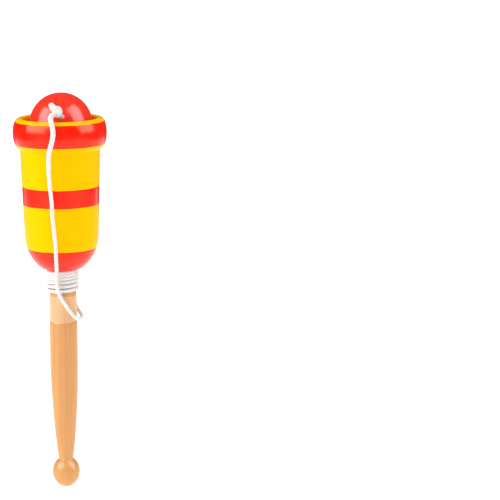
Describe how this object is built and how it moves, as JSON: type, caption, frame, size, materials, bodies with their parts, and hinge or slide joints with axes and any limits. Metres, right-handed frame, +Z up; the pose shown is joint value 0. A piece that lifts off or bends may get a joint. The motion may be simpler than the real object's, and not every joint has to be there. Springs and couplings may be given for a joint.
{
  "type": "cup and ball toy",
  "caption": "Turned wooden cup on a slim handle, painted in bright bands, with a wooden ball that rests in its bowl on a cotton cord wound round the neck.",
  "frame": {"origin": "middle of the straight grip, on the stick's axis", "axes": "+Z up the stick from the knob to the cup's mouth, -Y to the side that the cord comes down, +X to its right"},
  "size_m": [0.057, 0.0594, 0.2455],
  "materials": {
    "cup_paint": "gloss lacquer, yellow with red base, middle band and rim",
    "handle_wood": "clear satin lacquer over pale turned hardwood",
    "ball_paint": "gloss lacquer, red",
    "cord_cotton": "white twisted cotton"
  },
  "bodies": {
    "stick": {"cup": "cup_paint", "handle": "handle_wood", "neck_knot": "cord_cotton", "cord_winding": "cord_cotton", "cord_loop": "cord_cotton"},
    "hanging_cord": {"cord_run": "cord_cotton"},
    "ball_on_cord": {"ball": "ball_paint", "ball_knot": "cord_cotton", "cord_end": "cord_cotton"}
  },
  "joints": [
    {"name": "ball_turn", "type": "hinge", "parent": "stick", "child": "hanging_cord", "pos_m": [0, 0, 0.1], "axis": [0, 0, 1], "range_deg": [-30, 30]},
    {"name": "ball_lift", "type": "slide", "parent": "hanging_cord", "child": "ball_on_cord", "axis": [0, 0, 1], "range_m": [0, 0.045]}
  ]
}
